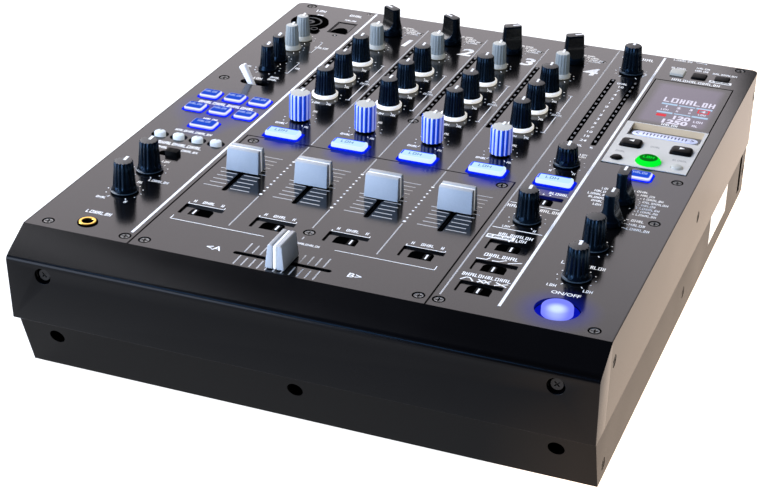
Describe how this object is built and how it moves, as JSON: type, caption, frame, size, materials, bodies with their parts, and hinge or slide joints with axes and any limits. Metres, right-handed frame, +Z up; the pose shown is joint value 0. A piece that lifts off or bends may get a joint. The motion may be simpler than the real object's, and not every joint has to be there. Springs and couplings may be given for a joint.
{
  "type": "dj mixer",
  "caption": "Tabletop club mixer: knob columns, faders, lit keys, meters, display, effects section and rear sockets in a folded metal case.",
  "frame": {"origin": "under the middle of the whole object, on the surface it stands on", "axes": "+X to the user's right, +Y towards the back, +Z up"},
  "size_m": [0.331, 0.4086, 0.1079],
  "materials": {
    "panel_enamel": "satin",
    "fader_panel_enamel": "satin",
    "cover_enamel": "satin",
    "tray_enamel": "satin",
    "plate_aluminium": "satin",
    "window_acrylic": "gloss",
    "socket_plastic": "matte",
    "screw_steel": "black",
    "foot_rubber": "matte",
    "board_laminate": "matte",
    "lever_plastic": "gloss",
    "slide_plastic": "matte",
    "button_polycarbonate": "lit",
    "key_polycarbonate": "lit",
    "grey_knob": "matte",
    "colour_knob": "gloss",
    "black_knob": "matte",
    "fader_cap": "satin"
  },
  "bodies": {
    "root": {"control_panel": "panel_enamel", "fader_panel": "fader_panel_enamel", "front_cover": "cover_enamel", "bottom_tray": "tray_enamel", "rear_panel": "tray_enamel", "effects_plate": "plate_aluminium", "display_windows": "window_acrylic", "sockets": "socket_plastic", "screws": "screw_steel", "feet": "foot_rubber", "circuit_boards": "board_laminate"},
    "trim_knob_1": {"trim_knob_1": "grey_knob"},
    "high_knob_1": {"high_knob_1": "black_knob"},
    "mid_knob_1": {"mid_knob_1": "black_knob"},
    "low_knob_1": {"low_knob_1": "black_knob"},
    "colour_knob_1": {"colour_knob_1": "colour_knob"},
    "input_selector_1": {"input_selector_1": "black_knob"},
    "trim_knob_2": {"trim_knob_2": "grey_knob"},
    "high_knob_2": {"high_knob_2": "black_knob"},
    "mid_knob_2": {"mid_knob_2": "black_knob"},
    "low_knob_2": {"low_knob_2": "black_knob"},
    "colour_knob_2": {"colour_knob_2": "colour_knob"},
    "input_selector_2": {"input_selector_2": "black_knob"},
    "trim_knob_3": {"trim_knob_3": "grey_knob"},
    "high_knob_3": {"high_knob_3": "black_knob"},
    "mid_knob_3": {"mid_knob_3": "black_knob"},
    "low_knob_3": {"low_knob_3": "black_knob"},
    "colour_knob_3": {"colour_knob_3": "colour_knob"},
    "input_selector_3": {"input_selector_3": "black_knob"},
    "trim_knob_4": {"trim_knob_4": "grey_knob"},
    "high_knob_4": {"high_knob_4": "black_knob"},
    "mid_knob_4": {"mid_knob_4": "black_knob"},
    "low_knob_4": {"low_knob_4": "black_knob"},
    "colour_knob_4": {"colour_knob_4": "colour_knob"},
    "input_selector_4": {"input_selector_4": "black_knob"},
    "mic_level_knob_1": {"mic_level_knob_1": "grey_knob"},
    "mic_level_knob_2": {"mic_level_knob_2": "grey_knob"},
    "mic_high_knob": {"mic_high_knob": "black_knob"},
    "mic_low_knob": {"mic_low_knob": "black_knob"},
    "phones_mixing_knob": {"phones_mixing_knob": "black_knob"},
    "phones_level_knob": {"phones_level_knob": "black_knob"},
    "master_level_knob": {"master_level_knob": "black_knob"},
    "balance_knob": {"balance_knob": "black_knob"},
    "booth_level_knob": {"booth_level_knob": "black_knob"},
    "effect_selector": {"effect_selector": "black_knob"},
    "effect_channel_selector": {"effect_channel_selector": "black_knob"},
    "effect_time_knob": {"effect_time_knob": "black_knob"},
    "effect_depth_knob": {"effect_depth_knob": "black_knob"},
    "channel_fader_1": {"channel_fader_1": "fader_cap"},
    "channel_fader_2": {"channel_fader_2": "fader_cap"},
    "channel_fader_3": {"channel_fader_3": "fader_cap"},
    "channel_fader_4": {"channel_fader_4": "fader_cap"},
    "crossfader": {"crossfader": "fader_cap"},
    "mic_switch": {"mic_switch": "lever_plastic"},
    "crossfader_assign_1": {"crossfader_assign_1": "slide_plastic"},
    "crossfader_assign_2_to_4": {"crossfader_assign_2_to_4": "slide_plastic"},
    "curve_switches": {"curve_switches": "slide_plastic"},
    "stereo_switches": {"stereo_switches": "slide_plastic"},
    "on_off_button": {"on_off_button": "button_polycarbonate"},
    "panel_keys": {"panel_keys": "key_polycarbonate"}
  },
  "joints": [
    {"name": "trim_knob_1_turn", "type": "hinge", "parent": "root", "child": "trim_knob_1", "pos_m": [-0.0824, 0.1408, 0.0835], "axis": [0, 0, 1], "range_deg": [-150, 150]},
    {"name": "high_knob_1_turn", "type": "hinge", "parent": "root", "child": "high_knob_1", "pos_m": [-0.0824, 0.1105, 0.0835], "axis": [0, 0, 1], "range_deg": [-150, 150]},
    {"name": "mid_knob_1_turn", "type": "hinge", "parent": "root", "child": "mid_knob_1", "pos_m": [-0.0824, 0.0795, 0.0835], "axis": [0, 0, 1], "range_deg": [-150, 150]},
    {"name": "low_knob_1_turn", "type": "hinge", "parent": "root", "child": "low_knob_1", "pos_m": [-0.0824, 0.0485, 0.0835], "axis": [0, 0, 1], "range_deg": [-150, 150]},
    {"name": "colour_knob_1_turn", "type": "hinge", "parent": "root", "child": "colour_knob_1", "pos_m": [-0.0824, 0.0078, 0.0835], "axis": [0, 0, 1], "range_deg": [-150, 150]},
    {"name": "input_selector_1_turn", "type": "hinge", "parent": "root", "child": "input_selector_1", "pos_m": [-0.0824, 0.1703, 0.0835], "axis": [0, 0, 1], "range_deg": [-112, 0]},
    {"name": "trim_knob_2_turn", "type": "hinge", "parent": "root", "child": "trim_knob_2", "pos_m": [-0.03907, 0.1408, 0.0835], "axis": [0, 0, 1], "range_deg": [-150, 150]},
    {"name": "high_knob_2_turn", "type": "hinge", "parent": "root", "child": "high_knob_2", "pos_m": [-0.03907, 0.1105, 0.0835], "axis": [0, 0, 1], "range_deg": [-150, 150]},
    {"name": "mid_knob_2_turn", "type": "hinge", "parent": "root", "child": "mid_knob_2", "pos_m": [-0.03907, 0.0795, 0.0835], "axis": [0, 0, 1], "range_deg": [-150, 150]},
    {"name": "low_knob_2_turn", "type": "hinge", "parent": "root", "child": "low_knob_2", "pos_m": [-0.03907, 0.0485, 0.0835], "axis": [0, 0, 1], "range_deg": [-150, 150]},
    {"name": "colour_knob_2_turn", "type": "hinge", "parent": "root", "child": "colour_knob_2", "pos_m": [-0.03907, 0.0078, 0.0835], "axis": [0, 0, 1], "range_deg": [-150, 150]},
    {"name": "input_selector_2_turn", "type": "hinge", "parent": "root", "child": "input_selector_2", "pos_m": [-0.03907, 0.1703, 0.0835], "axis": [0, 0, 1], "range_deg": [-112, 0]},
    {"name": "trim_knob_3_turn", "type": "hinge", "parent": "root", "child": "trim_knob_3", "pos_m": [0.00426, 0.1408, 0.0835], "axis": [0, 0, 1], "range_deg": [-150, 150]},
    {"name": "high_knob_3_turn", "type": "hinge", "parent": "root", "child": "high_knob_3", "pos_m": [0.00426, 0.1105, 0.0835], "axis": [0, 0, 1], "range_deg": [-150, 150]},
    {"name": "mid_knob_3_turn", "type": "hinge", "parent": "root", "child": "mid_knob_3", "pos_m": [0.00426, 0.0795, 0.0835], "axis": [0, 0, 1], "range_deg": [-150, 150]},
    {"name": "low_knob_3_turn", "type": "hinge", "parent": "root", "child": "low_knob_3", "pos_m": [0.00426, 0.0485, 0.0835], "axis": [0, 0, 1], "range_deg": [-150, 150]},
    {"name": "colour_knob_3_turn", "type": "hinge", "parent": "root", "child": "colour_knob_3", "pos_m": [0.00426, 0.0078, 0.0835], "axis": [0, 0, 1], "range_deg": [-150, 150]},
    {"name": "input_selector_3_turn", "type": "hinge", "parent": "root", "child": "input_selector_3", "pos_m": [0.00426, 0.1703, 0.0835], "axis": [0, 0, 1], "range_deg": [0, 112]},
    {"name": "trim_knob_4_turn", "type": "hinge", "parent": "root", "child": "trim_knob_4", "pos_m": [0.04759, 0.1408, 0.0835], "axis": [0, 0, 1], "range_deg": [-150, 150]},
    {"name": "high_knob_4_turn", "type": "hinge", "parent": "root", "child": "high_knob_4", "pos_m": [0.04759, 0.1105, 0.0835], "axis": [0, 0, 1], "range_deg": [-150, 150]},
    {"name": "mid_knob_4_turn", "type": "hinge", "parent": "root", "child": "mid_knob_4", "pos_m": [0.04759, 0.0795, 0.0835], "axis": [0, 0, 1], "range_deg": [-150, 150]},
    {"name": "low_knob_4_turn", "type": "hinge", "parent": "root", "child": "low_knob_4", "pos_m": [0.04759, 0.0485, 0.0835], "axis": [0, 0, 1], "range_deg": [-150, 150]},
    {"name": "colour_knob_4_turn", "type": "hinge", "parent": "root", "child": "colour_knob_4", "pos_m": [0.04759, 0.0078, 0.0835], "axis": [0, 0, 1], "range_deg": [-150, 150]},
    {"name": "input_selector_4_turn", "type": "hinge", "parent": "root", "child": "input_selector_4", "pos_m": [0.04759, 0.1703, 0.0835], "axis": [0, 0, 1], "range_deg": [0, 112]},
    {"name": "mic_level_knob_1_turn", "type": "hinge", "parent": "root", "child": "mic_level_knob_1", "pos_m": [-0.1345, 0.1358, 0.0835], "axis": [0, 0, 1], "range_deg": [-150, 150]},
    {"name": "mic_level_knob_2_turn", "type": "hinge", "parent": "root", "child": "mic_level_knob_2", "pos_m": [-0.1345, 0.1168, 0.0835], "axis": [0, 0, 1], "range_deg": [-150, 150]},
    {"name": "mic_high_knob_turn", "type": "hinge", "parent": "root", "child": "mic_high_knob", "pos_m": [-0.1345, 0.0943, 0.0835], "axis": [0, 0, 1], "range_deg": [-150, 150]},
    {"name": "mic_low_knob_turn", "type": "hinge", "parent": "root", "child": "mic_low_knob", "pos_m": [-0.1345, 0.0758, 0.0835], "axis": [0, 0, 1], "range_deg": [-150, 150]},
    {"name": "phones_mixing_knob_turn", "type": "hinge", "parent": "root", "child": "phones_mixing_knob", "pos_m": [-0.1334, -0.0957, 0.0835], "axis": [0, 0, 1], "range_deg": [-150, 150]},
    {"name": "phones_level_knob_turn", "type": "hinge", "parent": "root", "child": "phones_level_knob", "pos_m": [-0.1334, -0.1267, 0.0835], "axis": [0, 0, 1], "range_deg": [-150, 150]},
    {"name": "master_level_knob_turn", "type": "hinge", "parent": "root", "child": "master_level_knob", "pos_m": [0.088, 0.1673, 0.0835], "axis": [0, 0, 1], "range_deg": [-150, 150]},
    {"name": "balance_knob_turn", "type": "hinge", "parent": "root", "child": "balance_knob", "pos_m": [0.088, 0.0093, 0.0835], "axis": [0, 0, 1], "range_deg": [-150, 150]},
    {"name": "booth_level_knob_turn", "type": "hinge", "parent": "root", "child": "booth_level_knob", "pos_m": [0.088, -0.0717, 0.0835], "axis": [0, 0, 1], "range_deg": [-150, 150]},
    {"name": "effect_selector_turn", "type": "hinge", "parent": "root", "child": "effect_selector", "pos_m": [0.1305, -0.0267, 0.0835], "axis": [0, 0, 1], "range_deg": [-150, 150]},
    {"name": "effect_channel_selector_turn", "type": "hinge", "parent": "root", "child": "effect_channel_selector", "pos_m": [0.131, -0.0572, 0.0835], "axis": [0, 0, 1], "range_deg": [-105, 105]},
    {"name": "effect_time_knob_turn", "type": "hinge", "parent": "root", "child": "effect_time_knob", "pos_m": [0.1305, -0.0892, 0.0835], "axis": [0, 0, 1], "continuous": true},
    {"name": "effect_depth_knob_turn", "type": "hinge", "parent": "root", "child": "effect_depth_knob", "pos_m": [0.1312, -0.1262, 0.0835], "axis": [0, 0, 1], "range_deg": [-150, 150]},
    {"name": "channel_fader_1_slide", "type": "slide", "parent": "root", "child": "channel_fader_1", "axis": [0, 1, 0], "range_m": [-0.0253, 0.0197]},
    {"name": "channel_fader_2_slide", "type": "slide", "parent": "root", "child": "channel_fader_2", "axis": [0, 1, 0], "range_m": [-0.0241, 0.0209]},
    {"name": "channel_fader_3_slide", "type": "slide", "parent": "root", "child": "channel_fader_3", "axis": [0, 1, 0], "range_m": [-0.0237, 0.0213]},
    {"name": "channel_fader_4_slide", "type": "slide", "parent": "root", "child": "channel_fader_4", "axis": [0, 1, 0], "range_m": [-0.0249, 0.0201]},
    {"name": "crossfader_slide", "type": "slide", "parent": "root", "child": "crossfader", "axis": [1, 0, 0], "range_m": [-0.0225, 0.0225]},
    {"name": "mic_switch_tilt", "type": "hinge", "parent": "root", "child": "mic_switch", "pos_m": [-0.1325, 0.0513, 0.0825], "axis": [0, 1, 0], "range_deg": [0, 54]},
    {"name": "crossfader_assign_1_slide", "type": "slide", "parent": "root", "child": "crossfader_assign_1", "axis": [1, 0, 0], "range_m": [0, 0.0068]},
    {"name": "crossfader_assign_2_to_4_slide", "type": "slide", "parent": "root", "child": "crossfader_assign_2_to_4", "axis": [1, 0, 0], "range_m": [-0.0068, 0]},
    {"name": "curve_switches_slide", "type": "slide", "parent": "root", "child": "curve_switches", "axis": [1, 0, 0], "range_m": [-0.0034, 0.0034]},
    {"name": "stereo_switches_slide", "type": "slide", "parent": "root", "child": "stereo_switches", "axis": [1, 0, 0], "range_m": [-0.0042, 0]},
    {"name": "on_off_button_press", "type": "slide", "parent": "root", "child": "on_off_button", "axis": [0, 0, -1], "range_m": [0, 0.001], "stiffness_N_per_m": 1200},
    {"name": "panel_keys_press", "type": "slide", "parent": "root", "child": "panel_keys", "axis": [0, 0, -1], "range_m": [0, 0.001], "stiffness_N_per_m": 4000}
  ]
}
